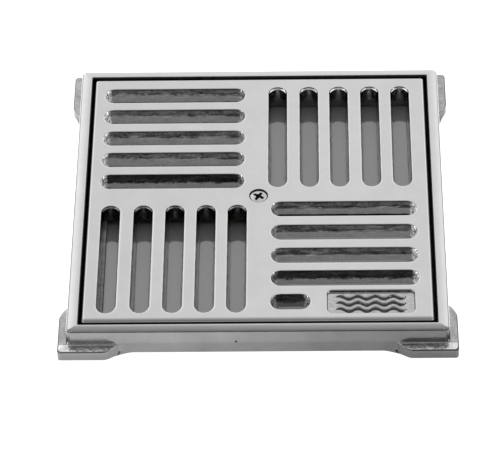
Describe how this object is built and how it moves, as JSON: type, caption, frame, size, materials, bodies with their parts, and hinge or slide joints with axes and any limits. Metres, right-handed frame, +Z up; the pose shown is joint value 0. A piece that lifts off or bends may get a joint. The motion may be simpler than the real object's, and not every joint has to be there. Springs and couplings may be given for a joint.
{
  "type": "floor drain grate",
  "caption": "Square cast floor drain grate with slots in a pinwheel layout, dropped into a rebated frame with anchor feet at its corners and held by a captive centre screw.",
  "frame": {"origin": "centre of the frame's footprint, on the underside of its feet", "axes": "+Z up, out of the floor; +X to the right and +Y to the back, along the frame's sides, with the cartouche at the front right"},
  "size_m": [0.1586, 0.1586, 0.0122],
  "materials": {
    "frame_chrome": "polished chrome plating on the rim and outer faces, over a brass casting; rougher as cast inside",
    "grate_chrome": "polished chrome plating on top, mottled as-cast surface under the plating inside the slots",
    "screw_steel": "plain stainless steel, lightly turned",
    "washer_nylon": "natural nylon",
    "bar_brass": "rolled strip, unplated",
    "bush_brass": "turned, unplated",
    "rivet_brass": "formed, unplated"
  },
  "bodies": {
    "frame": {"frame": "frame_chrome", "bridge_bar": "bar_brass", "threaded_bush": "bush_brass", "bridge_rivet_left": "rivet_brass", "bridge_rivet_right": "rivet_brass"},
    "grate": {"grate": "grate_chrome"},
    "washer": {"retaining_washer": "washer_nylon"},
    "screw": {"centre_screw": "screw_steel"}
  },
  "joints": [
    {"name": "grate_lift", "type": "slide", "parent": "frame", "child": "grate", "axis": [0, 0, 1], "range_m": [0, 0.03]},
    {"name": "screw_travel", "type": "slide", "parent": "grate", "child": "washer", "axis": [0, 0, 1], "range_m": [0, 0.0028]},
    {"name": "screw_turn", "type": "hinge", "parent": "washer", "child": "screw", "pos_m": [0, 0, 0.0113], "axis": [0, 0, 1], "range_deg": [0, 1440]}
  ],
  "couplings": [
    {"joint": "screw_turn", "follows": "screw_travel", "rad_per_m": 8975.9}
  ]
}
